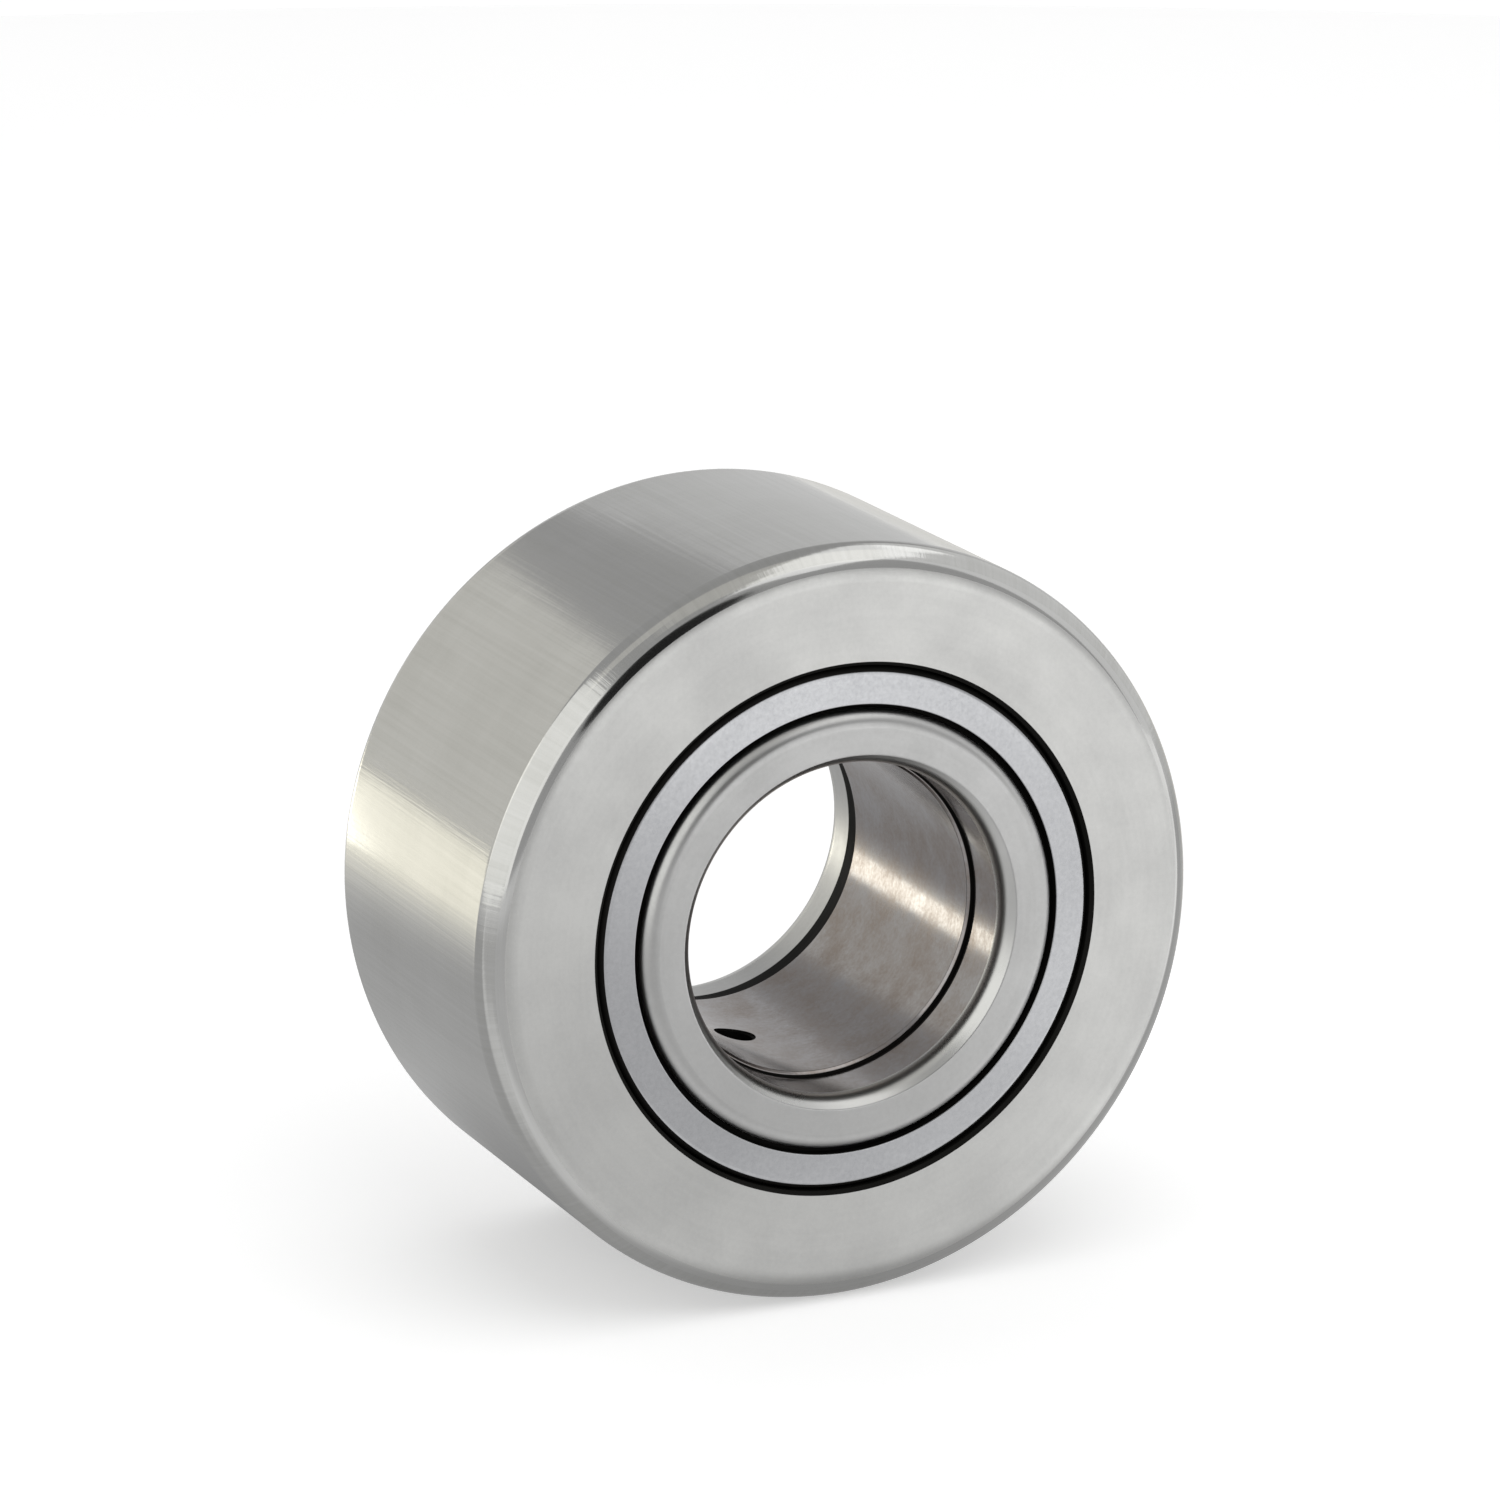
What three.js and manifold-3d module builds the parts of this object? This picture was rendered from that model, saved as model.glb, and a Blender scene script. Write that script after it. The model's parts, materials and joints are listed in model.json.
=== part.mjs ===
// Yoke-type cam follower (track roller): a double-row, full-complement cylindrical roller bearing
// with a thick outer ring that rolls on a cam or a rail. All sizes are in millimetres.
// The bearing axis is +Y, the origin is the middle of the bearing, and the front is the -Y side.

import * as THREE from 'three';
import { mergeVertices } from 'three/addons/utils/BufferGeometryUtils.js';
import Module from 'manifold-3d';

// Main sizes
const BORE_DIAMETER = 20;
const TREAD_DIAMETER = 47;
const OUTER_RING_WIDTH = 24;
const WASHER_FACE_SPACING = 25; // over the two clamped washer faces

// Rollers and raceways
const ROLLER_DIAMETER = 4;
const ROLLER_LENGTH = 6.7;
const ROLLER_CHAMFER = 0.3;
const ROLLERS_PER_ROW = 22;
const PITCH_RADIUS = 14.25;
const RACEWAY_CLEARANCE = 0.05;
const ROLLER_END_PLAY = 0.1;
const CENTRE_RIB_WIDTH = 2;
const CENTRE_RIB_RADIUS = 14.4;

// Outer ring edges
const TREAD_CHAMFER = 1.25;
const TREAD_BLEND = 1.4;
const FACE_BLEND = 2;
const MOUTH_CHAMFER = 0.2;

// Inner ring
const INNER_RING_WIDTH = 15.8;
const JOINT_CHAMFER = 0.35;
const OIL_HOLE_DIAMETER = 2.4;
const OIL_HOLE_ANGLE = THREE.MathUtils.degToRad(-101.5); // from +X towards +Z

// Side washers: a wide flange behind the shield and a narrower hub that shows
const FLANGE_RADIUS = 15.4;
const FLANGE_THICKNESS = 3.2;
const HUB_RADIUS = 13.6;
const HUB_EDGE_RADIUS = 1;
const WASHER_BORE_DIAMETER = 20.6; // clears the stud that the inner ring fits
const BORE_CHAMFER = 0.7;
const BORE_CHAMFER_EDGE = 0.15;
const BORE_BLEND = 1.5;

// Sheet-steel shields, an L-shaped section pressed into the outer ring and dished towards the hole
const SHIELD_RADIUS = 16.2;
const SHIELD_HOLE_RADIUS = 13.95;
const SHIELD_THICKNESS = 0.6;
const SHIELD_DEPTH = 2.4;
const SHIELD_BEND_RADIUS = 0.55;
const SHIELD_DISH = 0.15;

// Facets
const RING_SEGMENTS = 96;
const ROLLER_SEGMENTS = 16;
const HOLE_SEGMENTS = 24;
const ARC_STEPS = 2;

const BORE_RADIUS = BORE_DIAMETER / 2;
const TREAD_RADIUS = TREAD_DIAMETER / 2;
const OUTER_HALF_WIDTH = OUTER_RING_WIDTH / 2;
const INNER_HALF_WIDTH = INNER_RING_WIDTH / 2;
const WASHER_FACE = WASHER_FACE_SPACING / 2;
const WASHER_BORE_RADIUS = WASHER_BORE_DIAMETER / 2;
const INNER_RACEWAY_RADIUS = PITCH_RADIUS - ROLLER_DIAMETER / 2 - RACEWAY_CLEARANCE;
const OUTER_RACEWAY_RADIUS = PITCH_RADIUS + ROLLER_DIAMETER / 2 + RACEWAY_CLEARANCE;
const ROLLER_CENTRE_Y = CENTRE_RIB_WIDTH / 2 + ROLLER_END_PLAY + ROLLER_LENGTH / 2;

const wasm = await Module();
wasm.setup();

const groundSteel = { color: 0xb4b4b1, roughness: 0.32, metalness: 1 };
const polishedSteel = { color: 0xc4c4c2, roughness: 0.15, metalness: 1 };
const faceGroundSteel = { color: 0xb9bab9, roughness: 0.38, metalness: 1 };
const zincPlatedSheet = { color: 0xa9acb5, roughness: 0.3, metalness: 1 };

// An outline of [radius, along the axis, edge radius] corners, with an arc at each rounded corner.
function roundedOutline(corners) {
  const points = [];
  corners.forEach(([radius, along, edgeRadius = 0], index) => {
    const corner = new THREE.Vector2(radius, along);
    if (edgeRadius === 0) {
      points.push(corner);
      return;
    }
    const before = corners[(index + corners.length - 1) % corners.length];
    const after = corners[(index + 1) % corners.length];
    const toBefore = new THREE.Vector2(before[0], before[1]).sub(corner).normalize();
    const toAfter = new THREE.Vector2(after[0], after[1]).sub(corner).normalize();
    const halfAngle = Math.acos(toBefore.dot(toAfter)) / 2;
    const inward = toBefore.clone().add(toAfter).normalize();
    const centre = corner.clone().addScaledVector(inward, edgeRadius / Math.sin(halfAngle));
    const start = corner.clone().addScaledVector(toBefore, edgeRadius / Math.tan(halfAngle)).sub(centre);
    const end = corner.clone().addScaledVector(toAfter, edgeRadius / Math.tan(halfAngle)).sub(centre);
    const sweep = Math.atan2(start.cross(end), start.dot(end));
    for (let step = 0; step <= ARC_STEPS; step++) {
      points.push(start.clone().rotateAround(new THREE.Vector2(), (sweep * step) / ARC_STEPS).add(centre));
    }
  });
  return points;
}

// A ring about +Y. The corners run counter-clockwise, seen with the radius to the right and +Y up.
function ringGeometry(corners) {
  const outline = roundedOutline(corners);
  outline.push(outline[0].clone());
  return new THREE.LatheGeometry(outline, RING_SEGMENTS);
}

// The same ring turned half round, for the other end of the bearing.
function turnedRound(geometry) {
  return geometry.clone().rotateX(Math.PI);
}

function toSolid(geometry) {
  const bare = geometry.clone();
  bare.deleteAttribute('normal');
  bare.deleteAttribute('uv');
  const merged = mergeVertices(bare);
  const mesh = new wasm.Mesh({
    numProp: 3,
    vertProperties: new Float32Array(merged.attributes.position.array),
    triVerts: new Uint32Array(merged.index.array),
  });
  mesh.merge();
  return new wasm.Manifold(mesh);
}

function fromSolid(solid) {
  const mesh = solid.getMesh();
  const geometry = new THREE.BufferGeometry();
  geometry.setAttribute('position', new THREE.BufferAttribute(mesh.vertProperties, 3));
  geometry.setIndex(new THREE.BufferAttribute(mesh.triVerts, 1));
  geometry.computeVertexNormals();
  return geometry;
}

function namedMesh(name, geometry, finish) {
  const mesh = new THREE.Mesh(geometry, new THREE.MeshStandardMaterial(finish));
  mesh.name = name;
  return mesh;
}

// Thick ring with a chamfered tread, straight raceways and one rib between the two roller rows.
function outerRingGeometry() {
  const faceRadius = TREAD_RADIUS - TREAD_CHAMFER;
  const treadHalfWidth = OUTER_HALF_WIDTH - TREAD_CHAMFER;
  const mouthRadius = OUTER_RACEWAY_RADIUS + MOUTH_CHAMFER;
  const chamferDepth = OUTER_HALF_WIDTH - MOUTH_CHAMFER;
  const ribHalfWidth = CENTRE_RIB_WIDTH / 2;
  return ringGeometry([
    [faceRadius, -OUTER_HALF_WIDTH, FACE_BLEND],
    [TREAD_RADIUS, -treadHalfWidth, TREAD_BLEND],
    [TREAD_RADIUS, treadHalfWidth, TREAD_BLEND],
    [faceRadius, OUTER_HALF_WIDTH, FACE_BLEND],
    [mouthRadius, OUTER_HALF_WIDTH],
    [OUTER_RACEWAY_RADIUS, chamferDepth],
    [OUTER_RACEWAY_RADIUS, ribHalfWidth],
    [CENTRE_RIB_RADIUS, ribHalfWidth],
    [CENTRE_RIB_RADIUS, -ribHalfWidth],
    [OUTER_RACEWAY_RADIUS, -ribHalfWidth],
    [OUTER_RACEWAY_RADIUS, -chamferDepth],
    [mouthRadius, -OUTER_HALF_WIDTH],
  ]);
}

// Plain ring, chamfered at both ends, with the oil hole drilled between the roller rows.
function innerRingGeometry() {
  const chamferY = INNER_HALF_WIDTH - JOINT_CHAMFER;
  const ring = ringGeometry([
    [INNER_RACEWAY_RADIUS, -chamferY],
    [INNER_RACEWAY_RADIUS, chamferY],
    [INNER_RACEWAY_RADIUS - JOINT_CHAMFER, INNER_HALF_WIDTH],
    [BORE_RADIUS + JOINT_CHAMFER, INNER_HALF_WIDTH],
    [BORE_RADIUS, chamferY],
    [BORE_RADIUS, -chamferY],
    [BORE_RADIUS + JOINT_CHAMFER, -INNER_HALF_WIDTH],
    [INNER_RACEWAY_RADIUS - JOINT_CHAMFER, -INNER_HALF_WIDTH],
  ]);
  const wall = INNER_RACEWAY_RADIUS - BORE_RADIUS;
  const holeRadius = OIL_HOLE_DIAMETER / 2;
  const drill = new THREE.CylinderGeometry(holeRadius, holeRadius, 3 * wall, HOLE_SEGMENTS);
  drill.rotateZ(-Math.PI / 2);
  drill.translate(BORE_RADIUS + wall / 2, 0, 0);
  drill.rotateY(-OIL_HOLE_ANGLE);
  return fromSolid(toSolid(ring).subtract(toSolid(drill)));
}

// Rear washer: it clamps the inner ring, and its flange guides the ends of the rollers.
function rearWasherGeometry() {
  const flangeFace = INNER_HALF_WIDTH + FLANGE_THICKNESS;
  return ringGeometry([
    [FLANGE_RADIUS, INNER_HALF_WIDTH],
    [FLANGE_RADIUS, flangeFace],
    [HUB_RADIUS, flangeFace],
    [HUB_RADIUS, WASHER_FACE, HUB_EDGE_RADIUS],
    [WASHER_BORE_RADIUS + BORE_CHAMFER, WASHER_FACE, BORE_CHAMFER_EDGE],
    [WASHER_BORE_RADIUS, WASHER_FACE - BORE_CHAMFER, BORE_BLEND],
    [WASHER_BORE_RADIUS, INNER_HALF_WIDTH],
  ]);
}

// Rear shield: bent sheet, flush with the face of the outer ring that it turns with.
function rearShieldGeometry() {
  const sleeveInside = SHIELD_RADIUS - SHIELD_THICKNESS;
  const sleeveEnd = OUTER_HALF_WIDTH - SHIELD_DEPTH;
  const discInside = OUTER_HALF_WIDTH - SHIELD_THICKNESS;
  return ringGeometry([
    [SHIELD_RADIUS, sleeveEnd],
    [SHIELD_RADIUS, OUTER_HALF_WIDTH - SHIELD_DISH, SHIELD_BEND_RADIUS],
    [SHIELD_HOLE_RADIUS, OUTER_HALF_WIDTH],
    [SHIELD_HOLE_RADIUS, discInside],
    [sleeveInside, discInside - SHIELD_DISH],
    [sleeveInside, sleeveEnd],
  ]);
}

// Solid cylinder along +Y with chamfered ends.
function rollerGeometry() {
  const radius = ROLLER_DIAMETER / 2;
  const halfLength = ROLLER_LENGTH / 2;
  const outline = [
    new THREE.Vector2(0, -halfLength),
    new THREE.Vector2(radius - ROLLER_CHAMFER, -halfLength),
    new THREE.Vector2(radius, -halfLength + ROLLER_CHAMFER),
    new THREE.Vector2(radius, halfLength - ROLLER_CHAMFER),
    new THREE.Vector2(radius - ROLLER_CHAMFER, halfLength),
    new THREE.Vector2(0, halfLength),
  ];
  return new THREE.LatheGeometry(outline, ROLLER_SEGMENTS);
}

function rollerRow(end, centreY, firstAngle) {
  const row = new THREE.Group();
  for (let number = 1; number <= ROLLERS_PER_ROW; number++) {
    const angle = firstAngle + ((number - 1) * 2 * Math.PI) / ROLLERS_PER_ROW;
    const name = `roller_${end}_${String(number).padStart(2, '0')}`;
    const roller = namedMesh(name, rollerGeometry(), polishedSteel);
    roller.position.set(PITCH_RADIUS * Math.cos(angle), centreY, PITCH_RADIUS * Math.sin(angle));
    row.add(roller);
  }
  return row;
}

const rearWasher = rearWasherGeometry();
const rearShield = rearShieldGeometry();
const halfPitch = Math.PI / ROLLERS_PER_ROW;

const follower = new THREE.Group();
follower.add(
  namedMesh('outer_ring', outerRingGeometry(), groundSteel),
  namedMesh('inner_ring', innerRingGeometry(), polishedSteel),
  namedMesh('side_washer_front', turnedRound(rearWasher), faceGroundSteel),
  namedMesh('side_washer_rear', rearWasher, faceGroundSteel),
  namedMesh('shield_front', turnedRound(rearShield), zincPlatedSheet),
  namedMesh('shield_rear', rearShield, zincPlatedSheet),
  rollerRow('front', -ROLLER_CENTRE_Y, 0),
  rollerRow('rear', ROLLER_CENTRE_Y, halfPitch),
);

export default follower;
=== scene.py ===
"""Looks of a yoke-type cam follower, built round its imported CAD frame.

Metres, +Z up. The bearing axis is +Y, the front is the -Y side, and the tread stands on the floor.
"""
import json
import math

import bmesh
import bpy
from mathutils import Matrix, Vector


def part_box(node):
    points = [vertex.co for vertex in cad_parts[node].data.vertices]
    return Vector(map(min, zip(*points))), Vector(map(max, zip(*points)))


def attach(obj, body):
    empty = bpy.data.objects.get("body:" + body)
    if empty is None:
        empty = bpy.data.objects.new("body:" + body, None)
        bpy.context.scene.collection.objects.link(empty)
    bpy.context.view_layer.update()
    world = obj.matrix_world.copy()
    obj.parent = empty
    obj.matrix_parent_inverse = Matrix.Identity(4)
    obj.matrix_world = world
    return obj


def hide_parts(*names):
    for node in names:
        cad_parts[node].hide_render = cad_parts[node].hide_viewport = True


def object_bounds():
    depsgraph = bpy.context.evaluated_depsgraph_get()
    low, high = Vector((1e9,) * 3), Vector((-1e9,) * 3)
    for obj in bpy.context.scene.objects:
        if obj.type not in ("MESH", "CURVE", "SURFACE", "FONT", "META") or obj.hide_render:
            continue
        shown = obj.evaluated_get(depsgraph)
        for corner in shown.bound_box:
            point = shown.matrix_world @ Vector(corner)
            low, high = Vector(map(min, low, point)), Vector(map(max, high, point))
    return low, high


MM = 0.001

# Camera at the photographed viewing angle, in degrees, with its lens and sensor in millimetres
VIEW_AZIMUTH = -24.90
VIEW_ELEVATION = 15.66
VIEW_DISTANCE = 380.97 * MM
VIEW_OFFSET_RIGHT = -0.86 * MM
VIEW_OFFSET_UP = 7.88 * MM
LENS = 149.05
SENSOR_WIDTH = 36
CLIP_START = 0.01
CLIP_END = 10

# Outer ring. Going in from the face, the edge is blended smooth from BLEND_DEPTH on, and ground like the
# tread from GROUND_DEPTH on.
TREAD_CHAMFER = 1.25 * MM
TREAD_BLEND = 1.4 * MM
FACE_BLEND = 2.0 * MM
BLEND_DEPTH = 0.12 * MM
GROUND_DEPTH = 0.4 * MM
MOUTH_CHAMFER = 0.2 * MM
RACEWAY_CLEARANCE = 0.05 * MM
RIB_HALF_WIDTH = 1.0 * MM
RIB_RADIUS = 14.4 * MM

# Inner ring and side washers. A seep is how far the black of a joint runs along the bore: grease, and
# painted shade where the joint lies in shadow.
BORE_RADIUS = 10 * MM
BORE_END_CHAMFER = 0.15 * MM
JOINT_CHAMFER = 0.3 * MM
OIL_HOLE_RADIUS = 1.2 * MM
OIL_HOLE_FLARE = 0.12 * MM
OIL_HOLE_ANGLE = math.radians(-101.5)
HUB_RADIUS = 13.6 * MM
HUB_EDGE = 1.0 * MM
FLANGE_THICKNESS = 3.2 * MM
WASHER_BORE_RADIUS = 10.3 * MM
BORE_CHAMFER = 0.7 * MM
BORE_CHAMFER_EDGE = 0.15 * MM
BORE_BLEND = 1.5 * MM
FRONT_SEEP_AND_SHADE = 0.2 * MM
REAR_SEEP_AND_SHADE = 1.2 * MM

# Shields and rollers. Outside GROOVE_RADIUS the shield's bend is black, painted shade in the groove between
# shield and ring.
SHIELD_HOLE_RADIUS = 13.95 * MM
SHIELD_THICKNESS = 0.6 * MM
SHIELD_BEND = 0.55 * MM
SHIELD_DISH = 0.15 * MM
GROOVE_RADIUS = 15.93 * MM
ROLLER_CHAMFER = 0.3 * MM

# Mesh. SUPPORT is the flat strip that holds the shading beside a rounded edge.
RING_SEGMENTS = 256
ROLLER_SEGMENTS = 48
DRILL_SEGMENTS = 96
ARC_STEPS = 8
SUPPORT = 0.02 * MM
FINE_EDGE = 0.06 * MM
OIL_HOLE_SHARP_ANGLE = math.radians(35)
ROLLER_SHARP_ANGLE = math.radians(30)

# Material slots of a turned piece. OTHER is the outer ring's face or a washer's bore.
# The second slot is black: grease, and also painted shade in the gaps, grooves and joints inside the
# bearing.
BARE, GREASED_AND_SHADED, OTHER, EDGE = range(4)

# Surface patterns: features per radian about the axis, per metre, or as a noise scale
STREAKS_AROUND = 80.0
STREAKS_ALONG = 60.0
BANDS_AROUND = 2.0
BANDS_PER_METRE = 2600.0
TURNING_PER_METRE = 9000.0
GRAIN_SCALE = 3500.0
ORANGE_PEEL_SCALE = 700.0

# Noise gathers round 0.5, so these are the ends of its useful range
COLOUR_NOISE = (0.38, 0.62)
ROUGHNESS_NOISE = (0.35, 0.65)

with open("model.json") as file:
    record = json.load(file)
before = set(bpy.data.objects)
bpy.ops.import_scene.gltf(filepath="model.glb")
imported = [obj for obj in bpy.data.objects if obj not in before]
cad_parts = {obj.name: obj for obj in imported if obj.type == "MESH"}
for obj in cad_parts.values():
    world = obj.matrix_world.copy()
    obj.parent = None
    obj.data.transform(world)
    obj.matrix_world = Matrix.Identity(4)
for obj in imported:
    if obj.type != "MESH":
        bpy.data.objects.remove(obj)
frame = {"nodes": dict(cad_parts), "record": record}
cad_box = [list(corner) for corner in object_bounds()]


# ---------------------------------------------------------------- objects

def add_object(name, data):
    made = bpy.data.objects.new(name, data)
    bpy.context.scene.collection.objects.link(made)
    return made


def finished_mesh(name, work):
    mesh = bpy.data.meshes.new(name)
    work.to_mesh(mesh)
    work.free()
    return mesh


def face_away(thing, back):
    """Turns a camera, lamp or disc so that its back, its local +Z, points along the vector."""
    thing.rotation_mode = "QUATERNION"
    thing.rotation_quaternion = back.to_track_quat("Z", "Y")


# ---------------------------------------------------------------- node materials

class Graph:
    """Short calls for building a node material."""

    def __init__(self, name):
        self.material = bpy.data.materials.new(name)
        self.material.use_nodes = True
        self.tree = self.material.node_tree
        self.shader = self.tree.nodes["Principled BSDF"]

    def feed(self, socket, value):
        if isinstance(value, bpy.types.NodeSocket):
            self.tree.links.new(value, socket)
        else:
            socket.default_value = value

    def node(self, kind, inputs=None, **settings):
        made = self.tree.nodes.new(kind)
        for key, value in settings.items():
            setattr(made, key, value)
        for key, value in (inputs or {}).items():
            self.feed(made.inputs[key], value)
        return made

    def math(self, operation, *values):
        return self.node("ShaderNodeMath", dict(enumerate(values)), operation=operation).outputs[0]

    def add(self, *values):
        total = values[0]
        for value in values[1:]:
            total = self.math("ADD", total, value)
        return total

    def length(self, first, second):
        squares = [self.math("MULTIPLY", value, value) for value in (first, second)]
        return self.math("SQRT", self.math("ADD", *squares))

    def remap(self, value, low, high, to_low, to_high, smooth=False):
        made = self.node("ShaderNodeMapRange", {0: value, 1: low, 2: high, 3: to_low, 4: to_high})
        if smooth:
            made.interpolation_type = "SMOOTHSTEP"
        return made.outputs[0]

    def mix(self, share, first, second):
        made = self.node("ShaderNodeMix", data_type="RGBA")
        self.feed(made.inputs[0], share)
        self.feed(made.inputs[6], first)
        self.feed(made.inputs[7], second)
        return made.outputs[2]

    def noise(self, vector, scale, detail=2.0, roughness=0.5):
        inputs = {"Vector": vector, "Scale": scale, "Detail": detail, "Roughness": roughness}
        return self.node("ShaderNodeTexNoise", inputs).outputs[0]

    def bump(self, height, distance, normal=None):
        inputs = {"Height": height, "Strength": 1.0, "Distance": distance}
        if normal is not None:
            inputs["Normal"] = normal
        return self.node("ShaderNodeBump", inputs).outputs["Normal"]

    def place(self):
        return self.node("ShaderNodeTexCoord").outputs["Object"]

    def lay(self, around, outwards, along):
        """Coordinates for marks about the bearing axis.

        around is in features per radian, outwards and along are in features per metre.
        """
        x, y, z = self.node("ShaderNodeSeparateXYZ", {0: self.place()}).outputs
        radius = self.length(x, z)
        depth = self.add(self.math("MULTIPLY", radius, outwards), self.math("MULTIPLY", y, along))
        inputs = {
            0: self.math("MULTIPLY", self.math("DIVIDE", x, radius), around),
            1: self.math("MULTIPLY", self.math("DIVIDE", z, radius), around),
            2: depth,
        }
        return self.node("ShaderNodeCombineXYZ", inputs).outputs[0]


def rgb(red, green, blue):
    return (red, green, blue, 1.0)


def metal(name, colours, roughness, anisotropy=0.0, cloud_scale=90.0, shares=(0.7, 0.3, 0.0, 0.0),
          lay_depth=0.0, chatter_depth=0.0, orange_peel=0.0, metallic=1.0):
    """Machined steel.

    colours are the two ends of an uneven tone and roughness is (smoothest, roughest). shares say how much
    of the tone is clouds, turning bands round the axis, fine grain, and grinding streaks along the axis.
    Bump depths are in metres: lay_depth for the turning marks, chatter_depth for the streaks, and
    orange_peel for the soft unevenness of the surface.
    """
    graph = Graph(name)
    shader = graph.shader
    streaks = graph.noise(graph.lay(STREAKS_AROUND, 0.0, STREAKS_ALONG), 1.0, detail=3.0, roughness=0.6)
    bands = graph.lay(BANDS_AROUND, BANDS_PER_METRE, BANDS_PER_METRE)
    patterns = [
        graph.noise(graph.place(), cloud_scale, detail=4.0, roughness=0.6),
        graph.noise(bands, 1.0, detail=3.0, roughness=0.6),
        graph.noise(graph.place(), GRAIN_SCALE, detail=3.0, roughness=0.7),
        streaks,
    ]
    tone = 0.0
    for pattern, share in zip(patterns, shares):
        tone = graph.math("MULTIPLY_ADD", pattern, share, tone)
    blend = graph.remap(tone, *COLOUR_NOISE, 0.0, 1.0)
    graph.feed(shader.inputs["Base Color"], graph.mix(blend, *colours))
    graph.feed(shader.inputs["Roughness"], graph.remap(tone, *ROUGHNESS_NOISE, *roughness))
    shader.inputs["Metallic"].default_value = metallic
    if anisotropy:
        shader.inputs["Anisotropic"].default_value = anisotropy
        tangent = graph.node("ShaderNodeTangent", direction_type="RADIAL", axis="Y")
        graph.feed(shader.inputs["Tangent"], tangent.outputs[0])
    normal = None
    if orange_peel:
        normal = graph.bump(graph.noise(graph.place(), ORANGE_PEEL_SCALE), orange_peel, normal)
    if chatter_depth:
        normal = graph.bump(streaks, chatter_depth, normal)
    if lay_depth:
        turning = graph.lay(BANDS_AROUND, TURNING_PER_METRE, TURNING_PER_METRE)
        normal = graph.bump(graph.noise(turning, 1.0, roughness=0.6), lay_depth, normal)
    if normal is not None:
        graph.feed(shader.inputs["Normal"], normal)
    return graph.material


TREAD = metal(
    "ground_tread_steel", (rgb(0.56, 0.56, 0.55), rgb(0.49, 0.49, 0.475)), (0.08, 0.16), anisotropy=0.5,
    shares=(0.5, 0.1, 0.05, 0.35), lay_depth=0.4e-6, chatter_depth=7.0e-6, orange_peel=2.0e-6)
GROUND_EDGE = metal(
    "ground_edge_steel", (rgb(0.58, 0.58, 0.57), rgb(0.52, 0.52, 0.51)), (0.24, 0.34), anisotropy=0.2,
    shares=(0.6, 0.3, 0.1, 0.0), lay_depth=0.1e-6, orange_peel=0.5e-6)
BLEND = metal(
    "blended_edge_steel", (rgb(0.59, 0.59, 0.58), rgb(0.52, 0.52, 0.51)), (0.09, 0.14), anisotropy=0.3,
    shares=(0.6, 0.3, 0.1, 0.0), lay_depth=0.6e-6, orange_peel=2.0e-6)
FACE = metal(
    "turned_face_steel", (rgb(0.63, 0.63, 0.615), rgb(0.55, 0.55, 0.54)), (0.32, 0.42), anisotropy=0.3,
    cloud_scale=160.0, shares=(0.6, 0.15, 0.25, 0.0), lay_depth=0.8e-6, orange_peel=2.0e-6)
SHEET = metal(
    "pressed_sheet_steel", (rgb(0.56, 0.565, 0.58), rgb(0.47, 0.475, 0.49)), (0.18, 0.28),
    shares=(0.4, 0.1, 0.5, 0.0), lay_depth=0.3e-6, orange_peel=2.0e-6)
WASHER = metal(
    "ground_washer_steel", (rgb(0.54, 0.54, 0.535), rgb(0.48, 0.48, 0.475)), (0.3, 0.4), anisotropy=0.3,
    cloud_scale=200.0, shares=(0.5, 0.2, 0.3, 0.0), lay_depth=0.8e-6, orange_peel=1.5e-6)
# Darker, brownish steel for the bores: brown stains, and painted shade inside the bore.
BORE = metal(
    "bore_steel_stained_and_shaded", (rgb(0.33, 0.32, 0.325), rgb(0.25, 0.215, 0.195)), (0.1, 0.24), cloud_scale=300.0,
    shares=(0.6, 0.05, 0.35, 0.0), lay_depth=0.6e-6, orange_peel=3.0e-6)
ROLLER = metal("polished_roller_steel", (rgb(0.55, 0.55, 0.55), rgb(0.5, 0.5, 0.5)), (0.08, 0.14))
# Black grease, also painted as the shade in the bearing's gaps, grooves and joints, where the steel lies in
# shadow.
GREASE_AND_SHADE = metal(
    "black_grease_and_painted_shade", (rgb(0.012, 0.011, 0.01), rgb(0.006, 0.006, 0.005)), (0.5, 0.7), metallic=0.0)
GREASE_AND_SHADE_SPECULAR = 0.08
GREASE_AND_SHADE.node_tree.nodes["Principled BSDF"].inputs["Specular IOR Level"].default_value = GREASE_AND_SHADE_SPECULAR


# ---------------------------------------------------------------- turned meshes

def rounded_outline(corners):
    """Points of a closed outline.

    A corner is (radius, y, edge radius, material of the side that starts there), counter-clockwise with the
    radius to the right and +y up. The sides of a rounded edge take the material of the side before it.
    """
    points = []
    for index, (radius, along, edge, material) in enumerate(corners):
        if edge == 0:
            points.append((radius, along, material))
            continue
        corner = Vector((radius, along))
        before = corners[index - 1]
        after = corners[(index + 1) % len(corners)]
        to_before = (Vector(before[:2]) - corner).normalized()
        to_after = (Vector(after[:2]) - corner).normalized()
        half = to_before.angle(to_after) / 2
        centre = corner + (to_before + to_after).normalized() * (edge / math.sin(half))
        reach = edge / math.tan(half)
        start = corner + to_before * reach - centre
        end = corner + to_after * reach - centre
        sweep = math.atan2(start.x * end.y - start.y * end.x, start.dot(end))
        first = corner + to_before * (reach + SUPPORT)
        last = corner + to_after * (reach + SUPPORT)
        points.append((first.x, first.y, before[3]))
        for step in range(ARC_STEPS + 1):
            point = centre + Matrix.Rotation(sweep * step / ARC_STEPS, 2) @ start
            points.append((point.x, point.y, before[3]))
        points.append((last.x, last.y, material))
    return points


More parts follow.
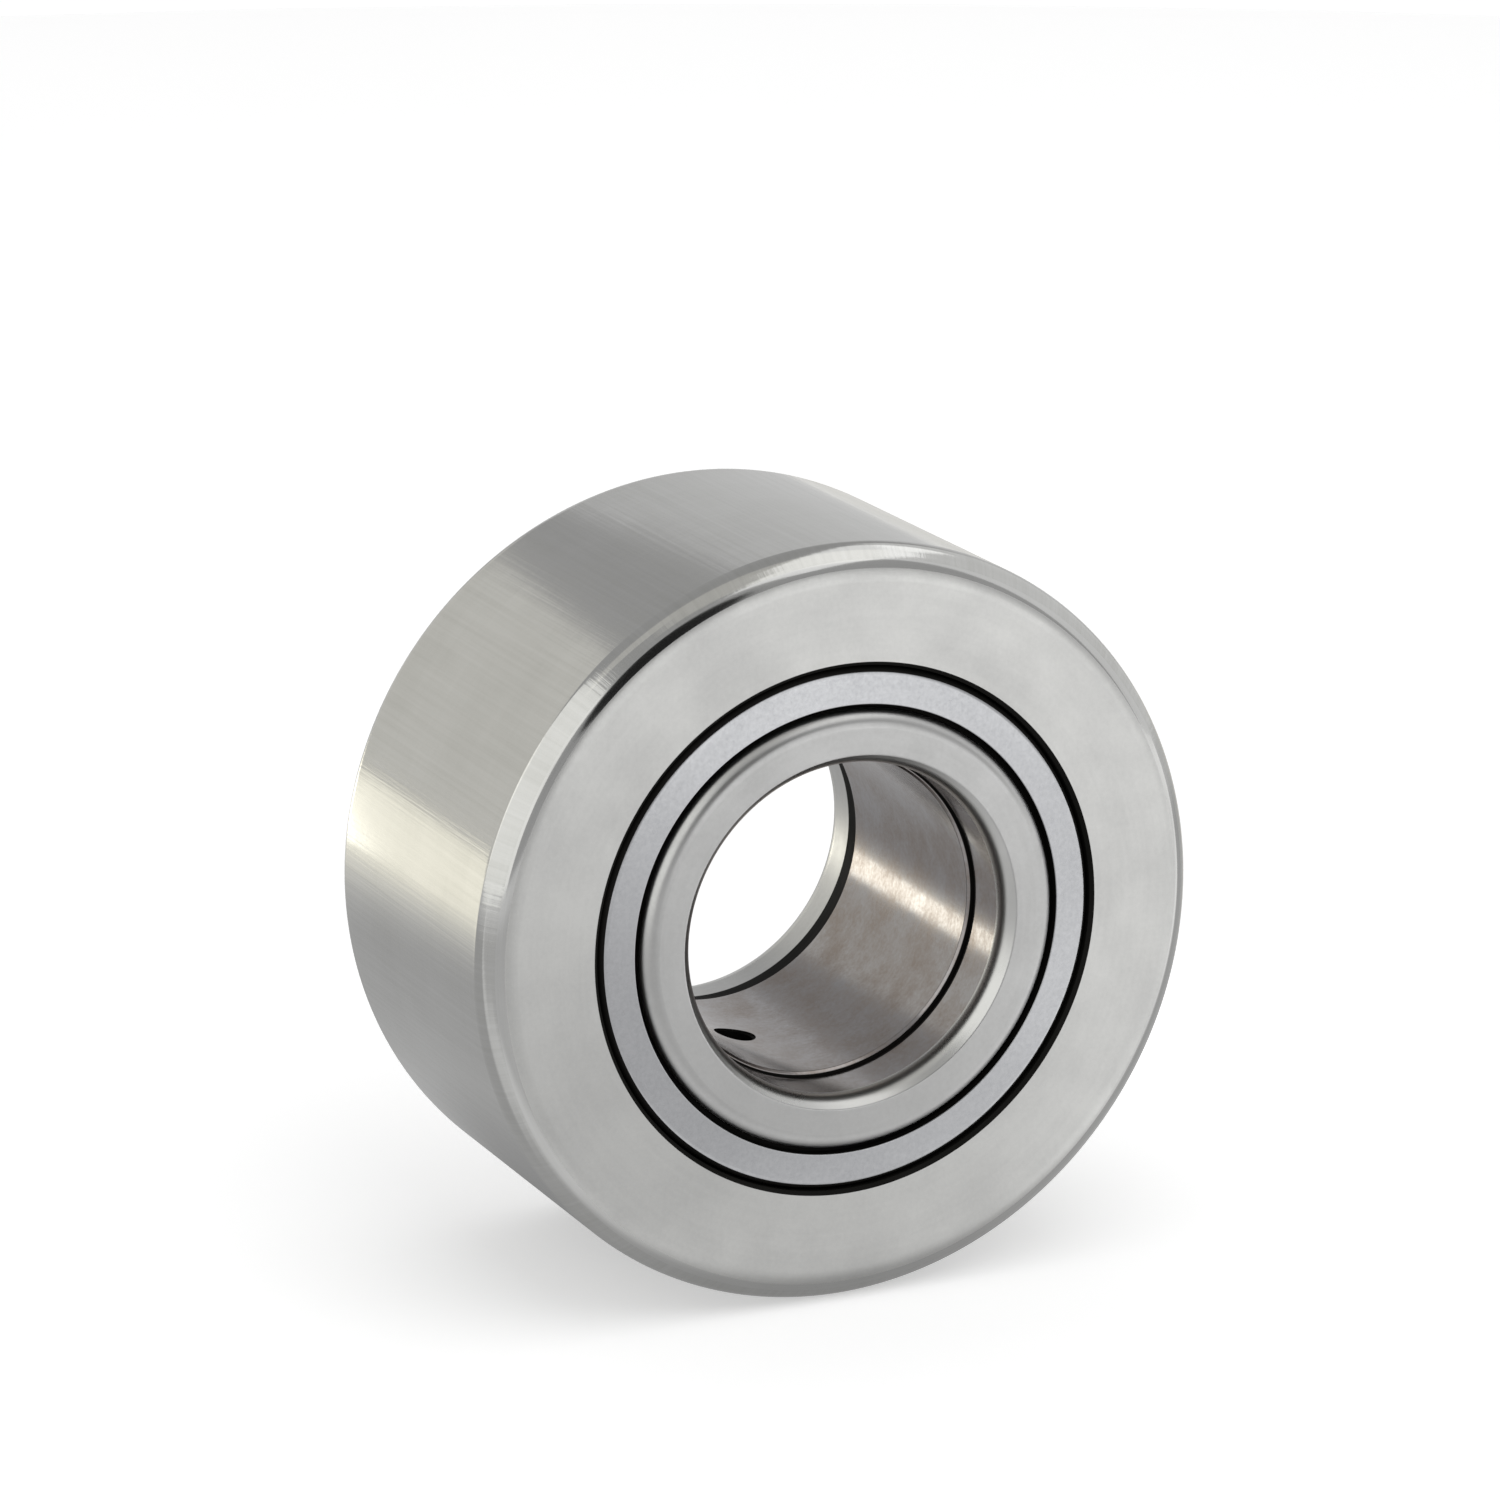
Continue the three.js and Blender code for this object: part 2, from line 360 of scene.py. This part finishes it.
def mirrored(outline):
    """The same outline at the other end of the bearing, still counter-clockwise."""
    flipped = [(radius, -along) for radius, along, _ in reversed(outline)]
    materials = [point[2] for point in reversed(outline)]
    materials = materials[1:] + materials[:1]
    return [(*point, material) for point, material in zip(flipped, materials)]


def turned_mesh(name, outline, segments):
    """A mesh turned about +Y.

    An outline that starts and ends on the axis closes there, any other closes on itself.
    """
    work = bmesh.new()
    rings = []
    for radius, along, _ in outline:
        if radius == 0:
            rings.append([work.verts.new((0, along, 0))] * segments)
            continue
        ring = []
        for step in range(segments):
            angle = 2 * math.pi * step / segments
            ring.append(work.verts.new((radius * math.cos(angle), along, radius * math.sin(angle))))
        rings.append(ring)
    spans = len(rings) - 1 if outline[0][0] == 0 else len(rings)
    for index in range(spans):
        near = rings[index]
        far = rings[(index + 1) % len(rings)]
        for step in range(segments):
            beside = (step + 1) % segments
            corners = [near[step], far[step], far[beside], near[beside]]
            face = work.faces.new(dict.fromkeys(corners))
            face.material_index = outline[index][2]
            face.smooth = True
    bmesh.ops.recalc_face_normals(work, faces=work.faces)
    return finished_mesh(name, work)


def add_piece(mesh, materials):
    for material in materials:
        mesh.materials.append(material)
    return add_object(mesh.name, mesh)


def stand_for(piece, node):
    """The piece replaces a CAD node, which it hides, and rides on its body."""
    record = frame["record"]
    bodies = record["behaviour"]["bodies"]
    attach(piece, next(body for body, nodes in bodies.items() if node in nodes))
    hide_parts(node)


# ---------------------------------------------------------------- pieces

ring_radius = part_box("outer_ring")[1].x
ring_half_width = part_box("outer_ring")[1].y
inner_half_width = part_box("inner_ring")[1].y
inner_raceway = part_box("inner_ring")[1].x
washer_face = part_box("side_washer_rear")[1].y
flange_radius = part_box("side_washer_rear")[1].x
shield_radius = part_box("shield_rear")[1].x
shield_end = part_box("shield_rear")[0].y
roller_low, roller_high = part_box("roller_front_01")
roller_radius = (roller_high.z - roller_low.z) / 2
roller_half_length = (roller_high.y - roller_low.y) / 2
pitch_radius = (roller_low.x + roller_high.x) / 2
outer_raceway = pitch_radius + roller_radius + RACEWAY_CLEARANCE


def outer_ring_outline():
    face_radius = ring_radius - TREAD_CHAMFER
    tread_end = ring_half_width - TREAD_CHAMFER
    mouth_radius = outer_raceway + MOUTH_CHAMFER
    mouth_end = ring_half_width - MOUTH_CHAMFER
    mid_face_radius = (mouth_radius + ring_radius) / 2
    outline = rounded_outline([
        (face_radius, -ring_half_width, FACE_BLEND, BARE),
        (ring_radius, -tread_end, TREAD_BLEND, BARE),
        (ring_radius, tread_end, TREAD_BLEND, BARE),
        (face_radius, ring_half_width, FACE_BLEND, OTHER),
        (mouth_radius, ring_half_width, FINE_EDGE, GREASED_AND_SHADED),
        (outer_raceway, mouth_end, FINE_EDGE, GREASED_AND_SHADED),
        (outer_raceway, RIB_HALF_WIDTH, FINE_EDGE, GREASED_AND_SHADED),
        (RIB_RADIUS, RIB_HALF_WIDTH, FINE_EDGE, GREASED_AND_SHADED),
        (RIB_RADIUS, -RIB_HALF_WIDTH, FINE_EDGE, GREASED_AND_SHADED),
        (outer_raceway, -RIB_HALF_WIDTH, FINE_EDGE, GREASED_AND_SHADED),
        (outer_raceway, -mouth_end, FINE_EDGE, GREASED_AND_SHADED),
        (mouth_radius, -ring_half_width, FINE_EDGE, OTHER),
    ])
    finished = []
    for radius, along, material in outline:
        depth = ring_half_width - abs(along)
        if radius > mid_face_radius and depth > GROUND_DEPTH:
            material = BARE
        elif radius > mid_face_radius and depth > BLEND_DEPTH:
            material = EDGE
        finished.append((radius, along, material))
    return finished


def inner_ring_outline():
    chamfer_y = inner_half_width - JOINT_CHAMFER
    bore_end = inner_half_width - BORE_END_CHAMFER
    return rounded_outline([
        (inner_raceway, -chamfer_y, FINE_EDGE, GREASED_AND_SHADED),
        (inner_raceway, chamfer_y, FINE_EDGE, GREASED_AND_SHADED),
        (inner_raceway - JOINT_CHAMFER, inner_half_width, FINE_EDGE, GREASED_AND_SHADED),
        (BORE_RADIUS + BORE_END_CHAMFER, inner_half_width, FINE_EDGE, BARE),
        (BORE_RADIUS, bore_end, FINE_EDGE, BARE),
        (BORE_RADIUS, -bore_end, FINE_EDGE, BARE),
        (BORE_RADIUS + BORE_END_CHAMFER, -inner_half_width, FINE_EDGE, GREASED_AND_SHADED),
        (inner_raceway - JOINT_CHAMFER, -inner_half_width, FINE_EDGE, GREASED_AND_SHADED),
    ])


def rear_washer_outline(seep_and_shade):
    flange_face = inner_half_width + FLANGE_THICKNESS
    chamfer_end = inner_half_width + JOINT_CHAMFER
    return rounded_outline([
        (flange_radius, inner_half_width, FINE_EDGE, GREASED_AND_SHADED),
        (flange_radius, flange_face, FINE_EDGE, GREASED_AND_SHADED),
        (HUB_RADIUS, flange_face, FINE_EDGE, BARE),
        (HUB_RADIUS, washer_face, HUB_EDGE, BARE),
        (WASHER_BORE_RADIUS + BORE_CHAMFER, washer_face, BORE_CHAMFER_EDGE, EDGE),
        (WASHER_BORE_RADIUS, washer_face - BORE_CHAMFER, BORE_BLEND, OTHER),
        # A band of black along the bore beside the joint: grease, and painted shade where the joint lies in
        # shadow.
        (WASHER_BORE_RADIUS, chamfer_end + seep_and_shade, 0, GREASED_AND_SHADED),
        (WASHER_BORE_RADIUS, chamfer_end, FINE_EDGE, GREASED_AND_SHADED),
        (WASHER_BORE_RADIUS + JOINT_CHAMFER, inner_half_width, FINE_EDGE, GREASED_AND_SHADED),
    ])


def rear_shield_outline():
    sleeve_inside = shield_radius - SHIELD_THICKNESS
    disc_inside = ring_half_width - SHIELD_THICKNESS
    outline = rounded_outline([
        (shield_radius, shield_end, FINE_EDGE, GREASED_AND_SHADED),
        (shield_radius, ring_half_width - SHIELD_DISH, SHIELD_BEND, BARE),
        (SHIELD_HOLE_RADIUS, ring_half_width, FINE_EDGE, GREASED_AND_SHADED),
        (SHIELD_HOLE_RADIUS, disc_inside, FINE_EDGE, GREASED_AND_SHADED),
        (sleeve_inside, disc_inside - SHIELD_DISH, FINE_EDGE, GREASED_AND_SHADED),
        (sleeve_inside, shield_end, FINE_EDGE, GREASED_AND_SHADED),
    ])
    bend_start = ring_half_width - SHIELD_DISH - SHIELD_BEND
    finished = []
    for radius, along, material in outline:
        # The bend keeps bare steel only inside GROOVE_RADIUS. Outside it, and on the hole wall, black
        # paints the shade of the groove and the running gap.
        if along > bend_start and SHIELD_HOLE_RADIUS < radius < GROOVE_RADIUS:
            material = BARE
        finished.append((radius, along, material))
    return finished


def roller_outline():
    end_radius = roller_radius - ROLLER_CHAMFER
    side_half_length = roller_half_length - ROLLER_CHAMFER
    return [
        (0, -roller_half_length, BARE),
        (end_radius, -roller_half_length, BARE),
        (roller_radius, -side_half_length, BARE),
        (roller_radius, side_half_length, BARE),
        (end_radius, roller_half_length, BARE),
        (0, roller_half_length, BARE),
    ]


def drill_oil_hole(ring):
    """Cuts the radial oil hole through the inner ring, slightly flared where it meets the bore."""
    wall = inner_raceway - BORE_RADIUS
    outline = [
        (0, -wall, GREASED_AND_SHADED),
        (OIL_HOLE_RADIUS + OIL_HOLE_FLARE, -wall, GREASED_AND_SHADED),
        (OIL_HOLE_RADIUS + OIL_HOLE_FLARE, 0, GREASED_AND_SHADED),
        (OIL_HOLE_RADIUS, OIL_HOLE_FLARE, GREASED_AND_SHADED),
        (OIL_HOLE_RADIUS, 2 * wall, GREASED_AND_SHADED),
        (0, 2 * wall, GREASED_AND_SHADED),
    ]
    drill = add_piece(turned_mesh("drill", outline, DRILL_SEGMENTS), [BORE, GREASE_AND_SHADE])
    to_radius = Matrix.Translation((BORE_RADIUS, 0, 0)) @ Matrix.Rotation(math.radians(-90), 4, "Z")
    drill.matrix_world = Matrix.Rotation(-OIL_HOLE_ANGLE, 4, "Y") @ to_radius
    cut = ring.modifiers.new("oil_hole", "BOOLEAN")
    cut.operation = "DIFFERENCE"
    cut.solver = "EXACT"
    cut.object = drill
    bpy.context.view_layer.update()
    evaluated = ring.evaluated_get(bpy.context.evaluated_depsgraph_get())
    mesh = bpy.data.meshes.new_from_object(evaluated)
    ring.modifiers.clear()
    ring.data = mesh
    bpy.data.objects.remove(drill)
    mesh.set_sharp_from_angle(angle=OIL_HOLE_SHARP_ANGLE)


def build_rings():
    rings = [
        ("outer_ring", outer_ring_outline(), [TREAD, GREASE_AND_SHADE, FACE, BLEND]),
        ("inner_ring", inner_ring_outline(), [BORE, GREASE_AND_SHADE]),
    ]
    # The front washer's bore takes the darker bore steel, painted shade inside the bore. The rear one,
    # where light comes in from behind, takes the lighter washer steel.
    ends = [
        ("rear", list, REAR_SEEP_AND_SHADE, WASHER),
        ("front", mirrored, FRONT_SEEP_AND_SHADE, BORE),
    ]
    for end, turn, seep_and_shade, bore in ends:
        washer = turn(rear_washer_outline(seep_and_shade))
        rings.append((f"side_washer_{end}", washer, [WASHER, GREASE_AND_SHADE, bore, GROUND_EDGE]))
        rings.append((f"shield_{end}", turn(rear_shield_outline()), [SHEET, GREASE_AND_SHADE]))
    for node, outline, materials in rings:
        piece = add_piece(turned_mesh(f"{node}_body", outline, RING_SEGMENTS), materials)
        if node == "inner_ring":
            drill_oil_hole(piece)
        stand_for(piece, node)


def build_rollers():
    for node in sorted(frame["nodes"]):
        if not node.startswith("roller_"):
            continue
        mesh = turned_mesh(f"{node}_body", roller_outline(), ROLLER_SEGMENTS)
        mesh.set_sharp_from_angle(angle=ROLLER_SHARP_ANGLE)
        roller = add_piece(mesh, [ROLLER])
        low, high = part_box(node)
        roller.location = (low + high) / 2
        stand_for(roller, node)


# ---------------------------------------------------------------- studio

# What the camera sees of the studio: a floor with some light of its own, and a white backdrop
FLOOR_RADIUS = 0.5
FLOOR_TONES = (0.90, 0.92)
FLOOR_NOISE_SCALE = 6.0
FLOOR_ROUGHNESS = 0.9
FLOOR_OWN_LIGHT = 0.41
BACKDROP_RADIUS = 1.5
DISC_SEGMENTS = 64

# What the metal sees of the floor, a glowing disc painted with light and shade. Dim where the part stands,
# a painted shadow, with FLOOR_NEAR round it and brighter far off.
# In front of the part it is a little brighter, and most of all to the right. A strip just before the face
# lights the face's lower edge.
REFLECTED_FLOOR_RADIUS = 1.6
CONTACT_Y = 8 * MM
CONTACT_REACH = (8 * MM, 30 * MM)
FAR_REACH = (150 * MM, 280 * MM)
FRONT_Y = (-12 * MM, -22 * MM)
RIGHT_X = (3 * MM, 45 * MM)
STRIP_START_Y = (-12 * MM, -17 * MM)
STRIP_END_Y = (-36 * MM, -22 * MM)
FLOOR_CONTACT = 0.25
FLOOR_NEAR = 0.52
FLOOR_FAR = 0.2
FLOOR_FRONT = 0.1
FLOOR_FRONT_RIGHT = 0.5
FLOOR_STRIP = 0.2

# Soft glows on the floor: azimuth, how well a direction has to agree with it where the glow fades out and
# where it is full, the distance where it starts and where it is full, and its strength
FLOOR_GLOWS = [
    (-151, 0.95, 0.99, 60 * MM, 160 * MM, 0.9),
    (135, 0.85, 0.98, 45 * MM, 90 * MM, 0.25),
]
WARMEST_GLOW = 0.8

# The dark part of the studio in front of the part, seen only in reflections
FLAG_AZIMUTH = -10
FLAG_ELEVATION = 33
FLAG_HALF_WIDTH = 17
FLAG_DISTANCE = 0.7
FLAG_TONE = 0.01
FLAG_GLOW = 0.015

# Lights. Angles are in degrees as the part sees them, radiance is what they add to the world's.
WORLD_RADIANCE = 0.47
WHITE = (1, 1, 1)
CREAM = (1, 1, 0.96)
WARM = (1, 0.97, 0.85)
SOFTBOX_DISTANCE = 0.8
REFLECTED_BOXES = [
    # name, azimuth, elevation, width, height, radiance, colour
    ("left_box", -88, 24, 92, 58, 0.8, CREAM),
    ("back_left_card", -154, 14, 52, 28, 0.34, WARM),
    ("back_right_card", 150, 6, 46, 44, 0.22, WHITE),
    ("top_card", -10, 75, 70, 26, 0.22, WARM),
    ("right_box", 95, 28, 60, 58, 0.4, WHITE),
    ("top_right_box", 65, 62, 60, 24, 0.75, WHITE),
    ("front_box", 17, 10, 42, 30, 0.65, WHITE),
]
BORE_CARD = ("bore_card", -154.7, -5, 12, 8, 1.9, WARM)
BORE_CARD_DISTANCE = 0.146
FLOOR_KEYS = [
    ("floor_key", 8, 64, 50, 50, 1.1, WHITE),
    ("floor_back_key", 180, 70, 50, 50, 0.35, WHITE),
]


def direction(azimuth, elevation):
    """Unit vector from the part, for angles in degrees. Azimuth 0 is the front and 90 is +X."""
    a, e = math.radians(azimuth), math.radians(elevation)
    return Vector((math.sin(a) * math.cos(e), -math.cos(a) * math.cos(e), math.sin(e)))


def only_seen_by(thing, **rays):
    for kind in ("camera", "diffuse", "glossy", "transmission", "volume_scatter"):
        setattr(thing, f"visible_{kind}", rays.get(kind, False))


def add_camera():
    back = direction(VIEW_AZIMUTH, VIEW_ELEVATION)
    right = Vector((0, 0, 1)).cross(back).normalized()
    up = back.cross(right)
    data = bpy.data.cameras.new("photo_camera")
    data.sensor_width = SENSOR_WIDTH
    data.lens = LENS
    data.clip_start = CLIP_START
    data.clip_end = CLIP_END
    camera = add_object("photo_camera", data)
    camera.location = back * VIEW_DISTANCE + right * VIEW_OFFSET_RIGHT + up * VIEW_OFFSET_UP
    face_away(camera, back)
    bpy.context.scene.camera = camera


def softbox(name, azimuth, elevation, width, height, radiance, colour, distance=SOFTBOX_DISTANCE, **rays):
    """A rectangular light that faces the part."""
    across = 2 * distance * math.tan(math.radians(width / 2))
    tall = 2 * distance * math.tan(math.radians(height / 2))
    data = bpy.data.lights.new(name, "AREA")
    data.shape = "RECTANGLE"
    data.size = across
    data.size_y = tall
    data.energy = radiance * math.pi * across * tall
    data.color = colour
    lamp = add_object(name, data)
    towards = direction(azimuth, elevation)
    lamp.location = towards * distance
    face_away(lamp, towards)
    only_seen_by(lamp, **rays)


def stage_mesh(name, mesh, material, **rays):
    mesh.materials.append(material)
    thing = add_object(name, mesh)
    only_seen_by(thing, **rays)
    thing.visible_shadow = False
    return thing


def disc(name, radius):
    work = bmesh.new()
    bmesh.ops.create_circle(work, cap_ends=True, segments=DISC_SEGMENTS, radius=radius)
    return finished_mesh(name, work)


def glow(graph, base, strength, colour=rgb(*WHITE)):
    """Gives a studio surface light of its own, which isn't sampled as a lamp."""
    graph.feed(graph.shader.inputs["Base Color"], base)
    graph.feed(graph.shader.inputs["Emission Color"], colour)
    graph.feed(graph.shader.inputs["Emission Strength"], strength)
    graph.material.cycles.emission_sampling = "NONE"


def add_floor():
    graph = Graph("pale_floor")
    unevenness = graph.noise(graph.place(), FLOOR_NOISE_SCALE)
    shade = graph.mix(unevenness, *[rgb(tone, tone, tone) for tone in FLOOR_TONES])
    graph.shader.inputs["Roughness"].default_value = FLOOR_ROUGHNESS
    graph.shader.inputs["Specular IOR Level"].default_value = 0.0
    glow(graph, shade, FLOOR_OWN_LIGHT)
    floor = stage_mesh("studio_floor", disc("studio_floor", FLOOR_RADIUS), graph.material, camera=True)
    floor.location.z = cad_box[0][2]


def floor_glows(graph, x, y, reach):
    """The sum of the soft glows on the floor."""
    total = 0.0
    for azimuth, faded, full, start, end, strength in FLOOR_GLOWS:
        side = direction(azimuth, 0)
        towards = graph.add(graph.math("MULTIPLY", x, side.x), graph.math("MULTIPLY", y, side.y))
        facing = graph.math("DIVIDE", towards, graph.math("MAXIMUM", reach, MM))
        beam = graph.remap(facing, faded, full, 0, strength, smooth=True)
        ramp = graph.remap(reach, start, end, 0, 1, smooth=True)
        total = graph.math("MULTIPLY_ADD", beam, ramp, total)
    return total


def add_floor_in_reflections():
    """The floor as the metal sees it."""
    graph = Graph("floor_in_reflections")
    x, y, _ = graph.node("ShaderNodeSeparateXYZ", {0: graph.place()}).outputs
    reach = graph.length(x, graph.math("SUBTRACT", y, CONTACT_Y))
    # Painted shadow: dim where the part stands, rising to FLOOR_NEAR round it.
    near = graph.remap(reach, *CONTACT_REACH, FLOOR_CONTACT, FLOOR_NEAR, smooth=True)
    far = graph.remap(reach, *FAR_REACH, 0, FLOOR_FAR, smooth=True)
    in_front = graph.remap(y, *FRONT_Y, 0, 1, smooth=True)
    to_the_right = graph.remap(x, *RIGHT_X, FLOOR_FRONT, FLOOR_FRONT_RIGHT, smooth=True)
    strip_start = graph.remap(y, *STRIP_START_Y, 0, 1, smooth=True)
    strip_end = graph.remap(y, *STRIP_END_Y, 0, FLOOR_STRIP, smooth=True)
    glows = floor_glows(graph, x, y, reach)
    strength = graph.add(
        near,
        graph.math("MULTIPLY", in_front, to_the_right),
        graph.math("MULTIPLY", strip_start, strip_end),
        graph.math("MAXIMUM", glows, far))
    tint = graph.mix(graph.remap(glows, 0, WARMEST_GLOW, 0, 1), rgb(*WHITE), rgb(*WARM))
    graph.shader.inputs["Specular IOR Level"].default_value = 0.0
    glow(graph, rgb(0, 0, 0), strength, tint)
    mesh = disc("floor_in_reflections", REFLECTED_FLOOR_RADIUS)
    floor = stage_mesh("floor_in_reflections", mesh, graph.material, glossy=True)
    floor.location.z = cad_box[0][2]


def add_flag():
    graph = Graph("black_flag")
    graph.shader.inputs["Specular IOR Level"].default_value = 0.0
    glow(graph, rgb(FLAG_TONE, FLAG_TONE, FLAG_TONE), FLAG_GLOW)
    radius = FLAG_DISTANCE * math.tan(math.radians(FLAG_HALF_WIDTH))
    flag = stage_mesh("black_flag", disc("black_flag", radius), graph.material, glossy=True)
    towards = direction(FLAG_AZIMUTH, FLAG_ELEVATION)
    flag.location = towards * FLAG_DISTANCE
    face_away(flag, towards)


def add_backdrop():
    work = bmesh.new()
    bmesh.ops.create_icosphere(work, subdivisions=4, radius=BACKDROP_RADIUS)
    graph = Graph("white_backdrop")
    glow(graph, rgb(0, 0, 0), 1.0)
    stage_mesh("studio_backdrop", finished_mesh("studio_backdrop", work), graph.material, camera=True)


def add_world():
    world = bpy.data.worlds.new("studio")
    bpy.context.scene.world = world
    world.use_nodes = True
    background = world.node_tree.nodes["Background"]
    background.inputs["Color"].default_value = rgb(*WHITE)
    background.inputs["Strength"].default_value = WORLD_RADIANCE


def light_studio():
    add_world()
    for box in REFLECTED_BOXES:
        softbox(*box, glossy=True)
    softbox(*BORE_CARD, distance=BORE_CARD_DISTANCE, glossy=True)
    for key in FLOOR_KEYS:
        softbox(*key, diffuse=True)


build_rings()
build_rollers()
add_camera()
add_floor()
add_floor_in_reflections()
add_flag()
add_backdrop()
light_studio()
bpy.context.scene.view_settings.view_transform = "Standard"
